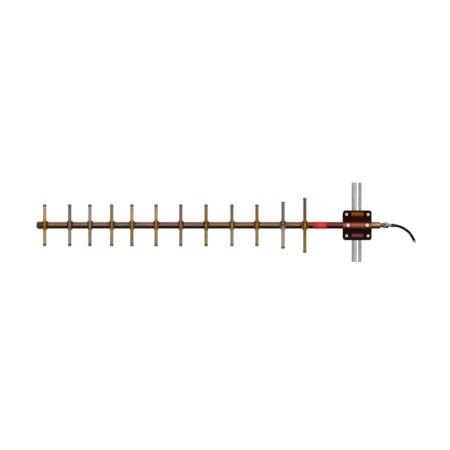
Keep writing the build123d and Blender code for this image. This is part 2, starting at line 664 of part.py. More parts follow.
with BuildPart() as boom_screws:
    m6_seat_y = BOOM_Y - BULGE_R + SPOT_FACE
    for x in boom_screw_x:
        with BuildSketch(facing_front(x, m6_seat_y, BOOM_Z)):
            Circle(M6_FLANGE_R)
        extrude(amount=M6_FLANGE_THICKNESS)
        head_height = M6_FLANGE_THICKNESS + M6_HEAD_HEIGHT
        add(hex_ring(facing_front(x, m6_seat_y, BOOM_Z), M6_FLATS, 0.0, head_height))
        with BuildSketch(facing_front(x, m6_seat_y, BOOM_Z)):
            Circle(M6_R)
        extrude(amount=m6_seat_y - M6_TIP_Y)
save(boom_screws, "boom_screws")

with BuildPart() as boom_screw_nuts:
    for x in boom_screw_x:
        add(hex_ring(facing_front(x, WEB_BACK_Y + M6_NUT_HEIGHT, BOOM_Z), M6_FLATS, M6_R, M6_NUT_HEIGHT))
save(boom_screw_nuts, "boom_screw_nuts")


# --- Coaxial jack in the boom's end ----
def turned(steps, bores):
    """Turned piece on the boom's axis: stacked (radius, x0, x1) steps, then bored (radius, x0, x1)."""
    with BuildPart() as piece:
        for radius, x0, x1 in steps:
            with BuildSketch(along_boom(x0)):
                Circle(radius)
            extrude(amount=x1 - x0)
        for radius, x0, x1 in bores:
            with BuildSketch(along_boom(x0)):
                Circle(radius)
            extrude(amount=x1 - x0, mode=Mode.SUBTRACT)
    return piece


n_jack_body = turned(
    [
        (JACK_STEM_R, JACK_REAR_X, BOOM_REAR_X), (JACK_NECK_R, BOOM_REAR_X, JACK_NECK_X),
        (JACK_THREAD_R, JACK_NECK_X, JACK_FACE_X),
    ],
    [(JACK_BORE_R, JACK_REAR_X, JACK_CAVITY_X), (JACK_CAVITY_R, JACK_CAVITY_X, JACK_FACE_X)],
)
save(n_jack_body, "n_jack_body")

n_jack_insulator = turned(
    [(JACK_BORE_R, JACK_REAR_X, JACK_CAVITY_X)], [(CONTACT_R, JACK_REAR_X, JACK_CAVITY_X)]
)
save(n_jack_insulator, "n_jack_insulator")

n_jack_contact = turned([(CONTACT_R, JACK_REAR_X, CONTACT_END_X)], [(SOCKET_R, SOCKET_X, CONTACT_END_X)])
save(n_jack_contact, "n_jack_contact")

# --- Plug on the pigtail ----
plug_body = turned(
    [
        (SHELL_R, PIN_TIP_X, FLANGE_X), (FLANGE_R, FLANGE_X, FLANGE_END_X),
        (PLUG_STEM_R, FLANGE_END_X, PLUG_END_X),
    ],
    [(SHELL_BORE_R, PIN_TIP_X, PLUG_END_X)],
)
save(plug_body, "plug_body")

plug_pin = turned([(PIN_R, PIN_TIP_X, PLUG_END_X)], [])
save(plug_pin, "plug_pin")

plug_dielectric = turned([(SHELL_BORE_R, DIELECTRIC_X, PLUG_END_X)], [(PIN_R, DIELECTRIC_X, PLUG_END_X)])
save(plug_dielectric, "plug_dielectric")

plug_gasket = turned([(GASKET_R, GASKET_FRONT_X, FLANGE_X)], [(GASKET_BORE_R, GASKET_FRONT_X, FLANGE_X)])
save(plug_gasket, "plug_gasket")

plug_ferrule = turned([(FERRULE_R, PLUG_END_X, FERRULE_END_X)], [(CABLE_R, PLUG_END_X, FERRULE_END_X)])
save(plug_ferrule, "plug_ferrule")

with BuildPart() as plug_coupling_nut:
    with BuildSketch(along_boom(NUT_FRONT_X)):
        RegularPolygon(hexagon_radius(NUT_FLATS), 6)
    extrude(amount=NUT_END_X - NUT_FRONT_X)
    with BuildSketch(along_boom(NUT_FRONT_X)):
        Circle(NUT_COLLAR_R)
    extrude(amount=NUT_END_X - NUT_FRONT_X, mode=Mode.INTERSECT)
    end_rims = plug_coupling_nut.faces().filter_by(Axis.X).edges().filter_by(GeomType.CIRCLE)
    chamfer(end_rims, length=NUT_CHAMFER)
    with BuildSketch(along_boom(NUT_FRONT_X)):
        Circle(NUT_BORE_R)
    extrude(amount=NUT_LIP_X - NUT_FRONT_X, mode=Mode.SUBTRACT)
    with BuildSketch(along_boom(NUT_LIP_X)):
        Circle(NUT_LIP_BORE_R)
    extrude(amount=NUT_END_X - NUT_LIP_X, mode=Mode.SUBTRACT)
save(plug_coupling_nut, "plug_coupling_nut")

# --- Pigtail cable: straight runs joined by tangent arcs, from inside the ferrule to the line jack ----
cable_route = [
    (PLUG_END_X, BOOM_Y, BOOM_Z),
    (139.0, BOOM_Y, BOOM_Z),
    (163.0, BOOM_Y, BOOM_Z - 5.5),
    (185.0, BOOM_Y, BOOM_Z - 18.5),
    (200.5, BOOM_Y, BOOM_Z - 33.0),
    (213.5, BOOM_Y, BOOM_Z - 58.5),
]


def bend_radii(route):
    """Tangent arc at each inner point, from its share of the shorter run and half the turn."""
    radii = []
    for before, here, after in zip(route, route[1:], route[2:]):
        run_in = Vector(here) - Vector(before)
        run_out = Vector(after) - Vector(here)
        half_turn = math.radians(run_in.get_angle(run_out)) / 2
        radii.append(ARC_SHARE_OF_RUN * min(run_in.length, run_out.length) / math.tan(half_turn))
    return radii


cable_radii = bend_radii(cable_route)
print("cable radii", [round(radius, 1) for radius in cable_radii])
with BuildPart() as pigtail_cable:
    with BuildLine() as cable_path:
        FilletPolyline(*cable_route, radius=cable_radii)
    with BuildSketch(along_boom(cable_route[0][0])):
        Circle(CABLE_R)
    sweep(path=cable_path.line)
path_length = sum(edge.length for edge in cable_path.line.edges())
section = math.pi * CABLE_R**2
print("cable length", round(path_length, 1))
print("cable volume over section x length", round(pigtail_cable.part.volume / (section * path_length), 4))
save(pigtail_cable, "pigtail_cable")

# --- Line jack on the pigtail's free end ----
cable_end = Vector(cable_route[-1])
cable_heading = (cable_end - Vector(cable_route[-2])).normalized()


def on_cable_end(distance):
    """Plane across the cable's end, a distance along its heading."""
    return Plane(origin=cable_end + cable_heading * distance, x_dir=(0, 1, 0), z_dir=cable_heading)


line_face = LINE_BODY_LENGTH + LINE_THREAD_LENGTH
line_jack_ferrule = round_bar(on_cable_end(-LINE_FERRULE_LENGTH), FERRULE_R, LINE_FERRULE_LENGTH, CABLE_R)
save(line_jack_ferrule, "line_jack_ferrule")

with BuildPart() as line_jack_body:
    with BuildSketch(on_cable_end(0)):
        RegularPolygon(hexagon_radius(LINE_BODY_FLATS), 6)
    extrude(amount=LINE_BODY_LENGTH)
    with BuildSketch(on_cable_end(LINE_BODY_LENGTH)):
        Circle(LINE_THREAD_R)
    extrude(amount=LINE_THREAD_LENGTH)
    with BuildSketch(on_cable_end(0)):
        Circle(LINE_CAVITY_R)
    extrude(amount=line_face, mode=Mode.SUBTRACT)
save(line_jack_body, "line_jack_body")

line_jack_insulator = round_bar(on_cable_end(0), LINE_CAVITY_R, LINE_BODY_LENGTH, LINE_CONTACT_R)
save(line_jack_insulator, "line_jack_insulator")

with BuildPart() as line_jack_contact:
    with BuildSketch(on_cable_end(0)):
        Circle(LINE_CONTACT_R)
    extrude(amount=line_face - LINE_CONTACT_SETBACK)
    with BuildSketch(on_cable_end(LINE_BODY_LENGTH)):
        Circle(LINE_SOCKET_R)
    extrude(amount=line_face, mode=Mode.SUBTRACT)
save(line_jack_contact, "line_jack_contact")
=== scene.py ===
import math

import bpy
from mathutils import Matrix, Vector


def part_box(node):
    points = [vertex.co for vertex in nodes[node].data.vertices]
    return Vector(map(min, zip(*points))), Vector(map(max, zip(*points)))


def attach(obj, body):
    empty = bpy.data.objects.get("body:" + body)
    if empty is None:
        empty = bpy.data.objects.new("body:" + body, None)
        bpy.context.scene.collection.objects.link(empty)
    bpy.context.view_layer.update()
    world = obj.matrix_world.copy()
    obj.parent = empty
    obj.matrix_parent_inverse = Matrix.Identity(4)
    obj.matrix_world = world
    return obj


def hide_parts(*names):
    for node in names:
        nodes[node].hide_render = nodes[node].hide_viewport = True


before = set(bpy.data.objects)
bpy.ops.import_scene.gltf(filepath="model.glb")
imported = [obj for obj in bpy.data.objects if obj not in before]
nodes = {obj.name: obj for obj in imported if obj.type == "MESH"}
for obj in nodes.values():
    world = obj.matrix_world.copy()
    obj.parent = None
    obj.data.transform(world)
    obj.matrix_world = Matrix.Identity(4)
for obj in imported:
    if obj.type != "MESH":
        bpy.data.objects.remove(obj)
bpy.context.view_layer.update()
MM = 0.001


def middle(node):
    """Centre of a CAD node's box."""
    low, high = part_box(node)
    return (Vector(low) + Vector(high)) / 2


boom_low, boom_high = (Vector(corner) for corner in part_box("boom_tube"))
boom_y = middle("boom_tube").y
boom_z = middle("boom_tube").z
BACK = Vector((0, 1, 0))
ALONG = Vector((1, 0, 0))

# --- Camera: level with the boom, far off on the -Y side, a little towards the front of the antenna ---
CAMERA_DISTANCE = 6.6
CAMERA_X = -0.4932
CAMERA_RISE = 1.1 * MM
VIEW_WIDTH = 1.6785
SENSOR_WIDTH = 36.0

camera_data = bpy.data.cameras.new("camera")
camera_data.sensor_width = SENSOR_WIDTH
camera_data.lens = SENSOR_WIDTH * CAMERA_DISTANCE / VIEW_WIDTH
camera_data.clip_end = 60.0
camera = bpy.data.objects.new("camera", camera_data)
camera.location = (CAMERA_X, boom_y - CAMERA_DISTANCE, boom_z + CAMERA_RISE)
camera.rotation_euler = (math.radians(90), 0, 0)
bpy.context.scene.collection.objects.link(camera)
bpy.context.scene.camera = camera
bpy.context.scene.view_settings.view_transform = "Standard"


# --- Materials -------------------------------------------------------------------------------------
NOISE_ROUGHNESS = 0.55


class Finish:
    """A material under construction: its node tree, its shader and its object coordinates."""

    def __init__(self, name, metallic=0.0, roughness=0.4, specular=0.5):
        self.material = bpy.data.materials.new(name)
        self.material.use_nodes = True
        self.tree = self.material.node_tree
        self.shader = self.tree.nodes["Principled BSDF"]
        self.shader.inputs["Metallic"].default_value = metallic
        self.shader.inputs["Roughness"].default_value = roughness
        self.shader.inputs["Specular IOR Level"].default_value = specular
        self.place = self.tree.nodes.new("ShaderNodeTexCoord").outputs["Object"]

    def link(self, output, target):
        self.tree.links.new(output, target)

    def noise(self, scale, stretch=(1, 1, 1), detail=4.0):
        """Noise value; scale is in features per metre, and stretch under 1 draws it out along an axis."""
        mapping = self.tree.nodes.new("ShaderNodeMapping")
        mapping.inputs["Scale"].default_value = stretch
        texture = self.tree.nodes.new("ShaderNodeTexNoise")
        texture.inputs["Scale"].default_value = scale
        texture.inputs["Detail"].default_value = detail
        texture.inputs["Roughness"].default_value = NOISE_ROUGHNESS
        self.link(self.place, mapping.inputs["Vector"])
        self.link(mapping.outputs["Vector"], texture.inputs["Vector"])
        return texture.outputs["Fac"]

    def ramp(self, value, stops):
        """Colour ramp through (position, (r, g, b)) stops."""
        node = self.tree.nodes.new("ShaderNodeValToRGB")
        marks = node.color_ramp.elements
        while len(marks) < len(stops):
            marks.new(0.5)
        for mark, (position, colour) in zip(marks, stops):
            mark.position = position
            mark.color = (*colour, 1)
        self.link(value, node.inputs["Fac"])
        return node.outputs["Color"]

    def remap(self, value, low, high, to_low, to_high):
        node = self.tree.nodes.new("ShaderNodeMapRange")
        limits = {"From Min": low, "From Max": high, "To Min": to_low, "To Max": to_high}
        for socket, number in limits.items():
            node.inputs[socket].default_value = number
        self.link(value, node.inputs["Value"])
        return node.outputs["Result"]

    def mix(self, factor, first, second, blend="MIX"):
        node = self.tree.nodes.new("ShaderNodeMix")
        node.data_type = "RGBA"
        node.blend_type = blend
        sockets = (node.inputs["Factor"], node.inputs[6], node.inputs[7])
        for socket, value in zip(sockets, (factor, first, second)):
            if isinstance(value, bpy.types.NodeSocket):
                self.link(value, socket)
            elif isinstance(value, tuple):
                socket.default_value = (*value, 1)
            else:
                socket.default_value = value
        return node.outputs[2]

    def along(self, axis, start, end):
        """0 at start to 1 at end along an object axis, in metres."""
        split = self.tree.nodes.new("ShaderNodeSeparateXYZ")
        self.link(self.place, split.inputs["Vector"])
        return self.remap(split.outputs[axis], start, end, 0.0, 1.0)

    def edges(self, radius, spread=0.35):
        """1 on edges that are sharper than radius can round, 0 on open faces."""
        bevel = self.tree.nodes.new("ShaderNodeBevel")
        bevel.samples = 4
        bevel.inputs["Radius"].default_value = radius
        geometry = self.tree.nodes.new("ShaderNodeNewGeometry")
        dot = self.tree.nodes.new("ShaderNodeVectorMath")
        dot.operation = "DOT_PRODUCT"
        self.link(bevel.outputs["Normal"], dot.inputs[0])
        self.link(geometry.outputs["Normal"], dot.inputs[1])
        return self.remap(dot.outputs["Value"], 1.0, 1.0 - spread, 0.0, 1.0)

    def bump(self, value, strength, distance):
        node = self.tree.nodes.new("ShaderNodeBump")
        node.inputs["Strength"].default_value = strength
        node.inputs["Distance"].default_value = distance
        self.link(value, node.inputs["Height"])
        self.link(node.outputs["Normal"], self.shader.inputs["Normal"])

    def colour(self, output):
        self.link(output, self.shader.inputs["Base Color"])

    def roughness(self, value, low, high):
        self.link(self.remap(value, 0.3, 0.7, low, high), self.shader.inputs["Roughness"])


def shade(colour, factor):
    return tuple(min(1.0, part * factor) for part in colour)


def boom_finish():
    """Bronze anodised tube: drawing lines along it, tint that goes from brown through maroon to copper."""
    finish = Finish("bronze_anodised", metallic=0.95)
    drift = finish.ramp(finish.along(0, boom_low.x, boom_high.x), [
        (0.0, (0.38, 0.22, 0.13)), (0.3, (0.36, 0.21, 0.14)), (0.4, (0.36, 0.19, 0.16)),
        (0.55, (0.38, 0.22, 0.10)), (0.74, (0.36, 0.20, 0.12)), (0.79, (0.28, 0.10, 0.06)),
        (0.85, (0.26, 0.045, 0.035)), (0.915, (0.32, 0.07, 0.065)), (0.955, (0.52, 0.24, 0.15)),
        (1.0, (0.62, 0.31, 0.19)),
    ])
    lines = finish.noise(2600, (0.012, 1, 1))
    blotch = finish.noise(38, (0.5, 1, 1), detail=3)
    worn = finish.ramp(blotch, [(0.32, (0.78, 0.76, 0.74)), (0.62, (1.06, 1.06, 1.04))])
    streak = finish.ramp(lines, [(0.35, (0.86, 0.86, 0.86)), (0.65, (1.0, 1.0, 1.0))])
    finish.colour(finish.mix(1.0, finish.mix(1.0, drift, worn, "MULTIPLY"), streak, "MULTIPLY"))
    finish.roughness(lines, 0.3, 0.44)
    finish.bump(lines, 0.12, 0.0001)
    return finish.material


def rod_finish(name, upper, crossing, lower):
    """Gold anodised rod whose tint changes from its upper half, through its crossing, to its lower half."""
    finish = Finish(name, metallic=0.9)
    height = finish.along(2, boom_z - 0.07, boom_z + 0.07)
    tint = finish.ramp(height, [(0.33, lower), (0.44, crossing), (0.56, crossing), (0.67, upper)])
    lines = finish.noise(2400, (1, 1, 0.012))
    blotch = finish.noise(60, (1, 1, 0.5), detail=3)
    worn = finish.ramp(blotch, [(0.3, (0.8, 0.78, 0.74)), (0.65, (1.08, 1.07, 1.03))])
    streak = finish.ramp(lines, [(0.35, (0.84, 0.84, 0.84)), (0.65, (1.0, 1.0, 1.0))])
    finish.colour(finish.mix(1.0, finish.mix(1.0, tint, worn, "MULTIPLY"), streak, "MULTIPLY"))
    finish.roughness(lines, 0.34, 0.48)
    finish.bump(lines, 0.12, 0.0001)
    return finish.material


def cast_finish(name, body, edge, metallic, low, high, grain=900, edge_radius=0.0006):
    """Cast or coated metal: fine pitted skin, mottled tint, and edges rubbed brighter."""
    finish = Finish(name, metallic=metallic)
    skin = finish.noise(grain, detail=6)
    blotch = finish.noise(70, detail=3)
    ground = finish.ramp(blotch, [(0.3, shade(body, 0.7)), (0.7, shade(body, 1.2))])
    wear = finish.remap(finish.noise(420, detail=5), 0.42, 0.62, 0.15, 0.9)
    mask = finish.tree.nodes.new("ShaderNodeMath")
    mask.operation = "MULTIPLY"
    finish.link(finish.edges(edge_radius), mask.inputs[0])
    finish.link(wear, mask.inputs[1])
    finish.colour(finish.mix(mask.outputs[0], ground, edge))
    finish.roughness(skin, low, high)
    finish.bump(skin, 0.25, 0.00025)
    return finish.material


def plate_finish():
    """Brown-copper coated pressed sheet with painted light and shade in bands across its height: bright on
    the lit faces of the pressed-out ribs, dark in the valleys and on their lower flanks. The flat margins
    are near-black, a dark coat with painted shade in the valleys.
    """
    finish = Finish("bracket_copper_coat", metallic=0.95)
    height = finish.along(2, boom_z - 0.056, boom_z + 0.056)
    # Painted light and shade by height: bright bands where the ribs face the light, dark bands in the
    # valleys between them and under them.
    painted_rib_light_and_shade = finish.ramp(height, [
        (0.0, (0.42, 0.10, 0.09)), (0.12, (0.24, 0.05, 0.05)), (0.24, (0.20, 0.045, 0.045)),
        (0.36, (0.16, 0.02, 0.015)), (0.42, (0.62, 0.20, 0.12)), (0.49, (0.56, 0.18, 0.10)),
        (0.57, (0.26, 0.055, 0.03)), (0.66, (0.16, 0.02, 0.012)), (0.76, (0.42, 0.11, 0.03)),
        (0.88, (0.30, 0.075, 0.008)), (1.0, (0.30, 0.07, 0.015)),
    ])
    raised = finish.along(1, boom_y - 1.2 * MM, boom_y - 3.6 * MM)
    margin = finish.noise(90, detail=3)
    # Near-black flat margins: a dark coat that also serves as painted shade in the valleys between the ribs.
    dark_margin_and_painted_shade = finish.ramp(margin, [(0.3, (0.008, 0.002, 0.0015)), (0.7, (0.024, 0.005, 0.003))])
    skin = finish.noise(1300, detail=5)
    body = finish.mix(raised, dark_margin_and_painted_shade, painted_rib_light_and_shade)
    rubbed = finish.remap(finish.noise(500, detail=5), 0.45, 0.65, 0.0, 0.7)
    mask = finish.tree.nodes.new("ShaderNodeMath")
    mask.operation = "MULTIPLY"
    finish.link(finish.edges(0.0007), mask.inputs[0])
    finish.link(rubbed, mask.inputs[1])
    finish.colour(finish.mix(mask.outputs[0], body, (0.45, 0.26, 0.16)))
    finish.roughness(skin, 0.42, 0.58)
    finish.bump(skin, 0.18, 0.0002)
    return finish.material


def mast_finish():
    """Bright drawn aluminium tube: fine lines along it and a faint oxide bloom."""
    finish = Finish("mast_bright_aluminium", metallic=1.0)
    lines = finish.noise(1500, (1, 1, 0.006))
    bloom = finish.noise(45, (1, 1, 0.6), detail=4)
    base = finish.ramp(bloom, [(0.3, (0.62, 0.62, 0.64)), (0.7, (0.84, 0.84, 0.85))])
    streak = finish.ramp(lines, [(0.35, (0.90, 0.90, 0.91)), (0.65, (1.0, 1.0, 1.0))])
    finish.colour(finish.mix(1.0, base, streak, "MULTIPLY"))
    finish.roughness(lines, 0.14, 0.22)
    finish.bump(lines, 0.03, 0.0001)
    return finish.material


def plated_finish(name, base, low, high, grain=500):
    """Plated metal: soft mottling in tint and gloss, slight dulling at the edges."""
    finish = Finish(name, metallic=1.0)
    mottle = finish.noise(grain, detail=5)
    finish.colour(finish.ramp(mottle, [(0.3, shade(base, 0.78)), (0.7, shade(base, 1.08))]))
    finish.roughness(mottle, low, high)
    finish.bump(finish.noise(2500, detail=3), 0.06, 0.0001)
    return finish.material


def moulded_finish(name, base, low, high, grain=1500, strength=0.15, specular=0.4):
    """Moulded plastic or rubber: fine grain, faint scuffs."""
    finish = Finish(name, roughness=0.5, specular=specular)
    grain_value = finish.noise(grain, detail=4)
    scuff = finish.noise(160, detail=5)
    finish.colour(finish.ramp(scuff, [(0.3, shade(base, 0.8)), (0.72, shade(base, 1.3))]))
    finish.roughness(grain_value, low, high)
    finish.bump(grain_value, strength, 0.00015)
    return finish.material


def wrap_finish():
    """Glossy red shrink wrap: darker towards its ends, with painted shade that leaves it brightest round its
    middle height and darker at top and bottom, and a painted glow from a little emission."""
    finish = Finish("red_wrap", roughness=0.4, specular=0.25)
    low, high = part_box("red_band")
    ends = finish.ramp(finish.along(0, low[0], high[0]), [
        (0.0, (0.22, 0.02, 0.01)), (0.16, (0.45, 0.02, 0.01)), (0.36, (0.90, 0.035, 0.02)),
        (0.55, (1.0, 0.07, 0.04)), (0.82, (0.98, 0.06, 0.035)), (1.0, (0.45, 0.03, 0.02)),
    ])
    # Painted shade by height: brightest just above the middle, darker towards the top and bottom.
    painted_height_shade = finish.ramp(finish.along(2, low[2], high[2]), [
        (0.0, (0.42, 0.40, 0.40)), (0.35, (0.85, 0.85, 0.85)), (0.52, (1.0, 1.0, 1.0)),
        (0.72, (0.72, 0.70, 0.70)), (1.0, (0.40, 0.38, 0.38)),
    ])
    ripple = finish.noise(210, (0.35, 1, 1), detail=3)
    tone = finish.ramp(ripple, [(0.3, (0.86, 0.8, 0.8)), (0.7, (1.0, 1.0, 1.0))])
    finish.colour(finish.mix(1.0, finish.mix(1.0, ends, painted_height_shade, "MULTIPLY"), tone, "MULTIPLY"))
    finish.roughness(ripple, 0.36, 0.5)
    finish.bump(ripple, 0.2, 0.0003)
    finish.shader.inputs["Coat Weight"].default_value = 0.15
    # Faint red emission: a painted glow that brightens the wrap.
    finish.shader.inputs["Emission Color"].default_value = (1.0, 0.04, 0.02, 1)
    finish.shader.inputs["Emission Strength"].default_value = 0.2
    return finish.material


# Tints of each element above the boom, where it crosses it, and below, from the boom's front backwards
ELEMENT_TINTS = {
    "director_10": ((0.86, 0.48, 0.18), (0.46, 0.15, 0.01), (0.66, 0.43, 0.13)),
    "director_09": ((0.30, 0.25, 0.17), (0.31, 0.15, 0.06), (0.48, 0.48, 0.29)),
    "director_08": ((0.60, 0.40, 0.30), (0.45, 0.19, 0.08), (0.46, 0.29, 0.17)),
    "director_07": ((0.45, 0.30, 0.14), (0.48, 0.20, 0.025), (0.56, 0.38, 0.14)),
    "director_06": ((0.72, 0.48, 0.23), (0.52, 0.23, 0.04), (0.40, 0.23, 0.07)),
    "director_05": ((0.62, 0.39, 0.19), (0.53, 0.16, 0.035), (0.48, 0.34, 0.12)),
    "director_04": ((0.29, 0.21, 0.13), (0.38, 0.17, 0.08), (0.38, 0.30, 0.12)),
    "director_03": ((0.40, 0.22, 0.06), (0.32, 0.15, 0.04), (0.50, 0.30, 0.09)),
    "director_02": ((0.28, 0.24, 0.11), (0.44, 0.23, 0.08), (0.50, 0.42, 0.23)),
    "director_01": ((0.37, 0.19, 0.03), (0.46, 0.19, 0.025), (0.52, 0.31, 0.07)),
    "reflector": ((0.28, 0.12, 0.05), (0.45, 0.21, 0.01), (0.42, 0.24, 0.02)),
}

NICKEL = plated_finish("nickel_plate", (0.36, 0.33, 0.31), 0.2, 0.32)
PALE_NICKEL = plated_finish("pale_nickel", (0.50, 0.46, 0.45), 0.25, 0.4)
BRONZE_PLATE = plated_finish("bronze_plate", (0.34, 0.18, 0.10), 0.26, 0.4)
BLACK_ZINC = plated_finish("black_zinc", (0.035, 0.026, 0.022), 0.35, 0.5)
ZINC = plated_finish("zinc_plate", (0.78, 0.72, 0.64), 0.28, 0.45, grain=320)
STAINLESS = plated_finish("stainless", (0.90, 0.78, 0.64), 0.22, 0.36)
BRASS = plated_finish("brass_screws", (0.66, 0.40, 0.10), 0.26, 0.4)
GOLD = plated_finish("gold_plate", (0.86, 0.60, 0.24), 0.15, 0.25)
JACKET = moulded_finish(
    "cable_jacket", (0.003, 0.003, 0.0035), 0.5, 0.62, grain=900, strength=0.06, specular=0.1
)
DARK_CASTING = (0.060, 0.046, 0.038)
CASTING_EDGE = (0.20, 0.13, 0.09)
BOOT = moulded_finish("boot_black", (0.018, 0.018, 0.018), 0.45, 0.6)

CAD_FINISHES = {
    "mast_stub": mast_finish(),
    "boom_tube": boom_finish(),
    "boom_front_cap": moulded_finish(
        "cap_black", (0.085, 0.055, 0.030), 0.25, 0.36, grain=700, strength=0.08
    ),
    "boom_rear_bush": plated_finish("turned_aluminium", (0.72, 0.72, 0.73), 0.28, 0.42),
    "bracket_front_plate": plate_finish(),
    "bracket_cross_saddle": cast_finish("saddle_casting", DARK_CASTING, CASTING_EDGE, 0.4, 0.38, 0.55),
    "bracket_rear_jaw": cast_finish("jaw_casting", DARK_CASTING, CASTING_EDGE, 0.4, 0.38, 0.55),
    "clamp_head_washers": BLACK_ZINC,
    "clamp_rear_washers": ZINC,
    "boom_screws": STAINLESS,
    "boom_screw_nuts": ZINC,
    "saddle_screws": BRASS,
    "saddle_nuts": ZINC,
    "feed_screws": BRASS,
    "feed_nuts": BRASS,
    "driven_upper_arm": rod_finish("arm_brown", (0.34, 0.20, 0.16), (0.34, 0.13, 0.05), (0.34, 0.18, 0.13)),
    "driven_lower_arm": moulded_finish("sleeve_tan", (0.62, 0.40, 0.29), 0.4, 0.55, grain=1100),
    "feed_block": moulded_finish("feed_block_brown", (0.17, 0.075, 0.03), 0.35, 0.5),
    "element_tip_caps": moulded_finish("tip_caps", (0.17, 0.16, 0.14), 0.4, 0.55),
    "n_jack_insulator": moulded_finish("ptfe_white", (0.82, 0.82, 0.80), 0.4, 0.5),
    "n_jack_contact": GOLD,
    "plug_body": NICKEL,
    "plug_pin": GOLD,
    "plug_gasket": moulded_finish("gasket_red", (0.42, 0.06, 0.03), 0.5, 0.65),
    "balun_card": moulded_finish("card_green", (0.03, 0.16, 0.06), 0.3, 0.4),
    "inner_coax": JACKET,
    "line_jack_contact": GOLD,
}
CAD_FINISHES["plug_dielectric"] = CAD_FINISHES["n_jack_insulator"]
CAD_FINISHES["line_jack_insulator"] = CAD_FINISHES["n_jack_insulator"]
for element, (upper, crossing, lower) in ELEMENT_TINTS.items():
    CAD_FINISHES[element] = rod_finish(f"gold_{element}", upper, crossing, lower)
    # Each saddle takes its rod's crossing tint darkened to 0.42: a dark casting colour with painted shade
    # over the same bronze-gold.
    shaded_saddle_tint = shade(crossing, 0.42)
    saddle_edge = shade(crossing, 0.9)
    CAD_FINISHES[f"saddle_{element}"] = cast_finish(
        f"cast_{element}", shaded_saddle_tint, saddle_edge, 0.7, 0.36, 0.5
    )

SOFT_EDGES = {
    "bracket_cross_saddle": 0.8, "bracket_rear_jaw": 0.8, "bracket_front_plate": 0.35, "feed_block": 0.35,
    "boom_screws": 0.3, "boom_screw_nuts": 0.3, "saddle_nuts": 0.25, "mast_stub": 0.3,
    "boom_front_cap": 0.25, "clamp_head_washers": 0.2, "clamp_rear_washers": 0.2,
    "driven_lower_arm": 0.3, "driven_upper_arm": 0.25,
}
for node in nodes:
    if node.startswith("saddle_director") or node == "saddle_reflector":
        SOFT_EDGES[node] = 0.4


def soften(piece, width):
    """Rounds a CAD node's sharp edges by width, in millimetres."""
    weld = piece.modifiers.new("weld", "WELD")
    weld.merge_threshold = 0.002 * MM
    bevel = piece.modifiers.new("soft_edges", "BEVEL")
    bevel.width = width * MM
    bevel.segments = 2
    bevel.limit_method = "ANGLE"
    bevel.angle_limit = math.radians(38)
    normals = piece.modifiers.new("even_normals", "WEIGHTED_NORMAL")
    normals.mode = "FACE_AREA"
    normals.weight = 80


for node, material in CAD_FINISHES.items():
    piece = nodes[node]
    piece.data.materials.clear()
    piece.data.materials.append(material)
for node, width in SOFT_EDGES.items():
    soften(nodes[node], width)


# --- Turned and threaded pieces ------------------------------------------------------------------------
class Shape:
    """Mesh built from rings of points round an axis."""

    def __init__(self):
        self.points = []
        self.faces = []

    def rings(self, origin, heading, rings, loop=False):
        """Skins rings, each a list of (distance, radius, angle). One point makes a pole."""
        heading = heading.normalized()
        side = heading.orthogonal().normalized()
        up = heading.cross(side)
        starts = []
        for ring in rings:
            starts.append((len(self.points), len(ring)))
            for distance, radius, angle in ring:
                spoke = side * math.cos(angle) + up * math.sin(angle)
                self.points.append(origin + heading * distance + spoke * radius)
        pairs = list(zip(starts, starts[1:]))
        if loop:
            pairs.append((starts[-1], starts[0]))
        for (first, count), (second, other) in pairs:
            sides = max(count, other)
            for i in range(sides):
                j = (i + 1) % sides
                corners = [first + i % count, first + j % count, second + j % other, second + i % other]
                self.faces.append(list(dict.fromkeys(corners)))

    def build(self, name, material, sharp_angle=35.0):
        mesh = bpy.data.meshes.new(name)
        mesh.from_pydata([tuple(p) for p in self.points], [], self.faces)
        mesh.materials.append(material)
        mesh.validate()
        piece = bpy.data.objects.new(name, mesh)
        bpy.context.scene.collection.objects.link(piece)
        mesh.shade_smooth()
        mesh.set_sharp_from_angle(angle=math.radians(sharp_angle))
        return piece


def circle(distance, radius, count=48):
    return [(distance, radius, math.tau * i / count) for i in range(count)]


def pole(distance):
    return [(distance, 0.0, 0.0)]


def hex_radius(flats, angle):
    """Distance from a hexagon's centre to its side at an angle."""
    return flats / 2 / math.cos((angle + math.pi / 6) % (math.pi / 3) - math.pi / 6)


def hexagon(distance, flats, count=48):
    return [(distance, hex_radius(flats, math.tau * i / count), math.tau * i / count) for i in range(count)]


def hex_rim(distance, flats, slope, count=48):
    """Edge of a hexagon whose corners are cut back by a cone: slope is + on a far end, - on a near end."""
    inscribed = flats / 2
    ring = []
    for i in range(count):
        angle = math.tau * i / count
        radius = hex_radius(flats, angle)
        ring.append((distance - slope * (radius - inscribed) * math.tan(math.radians(30)), radius, angle))
    return ring


def thread_rings(start, end, major, depth, pitch, count=24, steps=6):
    """Rings of a helical ridge, run out at both ends."""
    rings = []
    total = math.ceil((end - start) / pitch * steps)
    for k in range(total + 1):
        distance = start + (end - start) * k / total
        run_out = min(1.0, (distance - start) / pitch, (end - distance) / pitch)
        ring = []
        for i in range(count):
            angle = math.tau * i / count
            phase = (distance / pitch - i / count) % 1.0
            crest = abs(2 * phase - 1)
            ring.append((distance, major - depth * (1 - crest * run_out), angle))
        rings.append(ring)
    return rings


N_THREAD_RADIUS = 7.9 * MM
N_THREAD_DEPTH = 0.55 * MM
N_THREAD_PITCH = 1.058 * MM


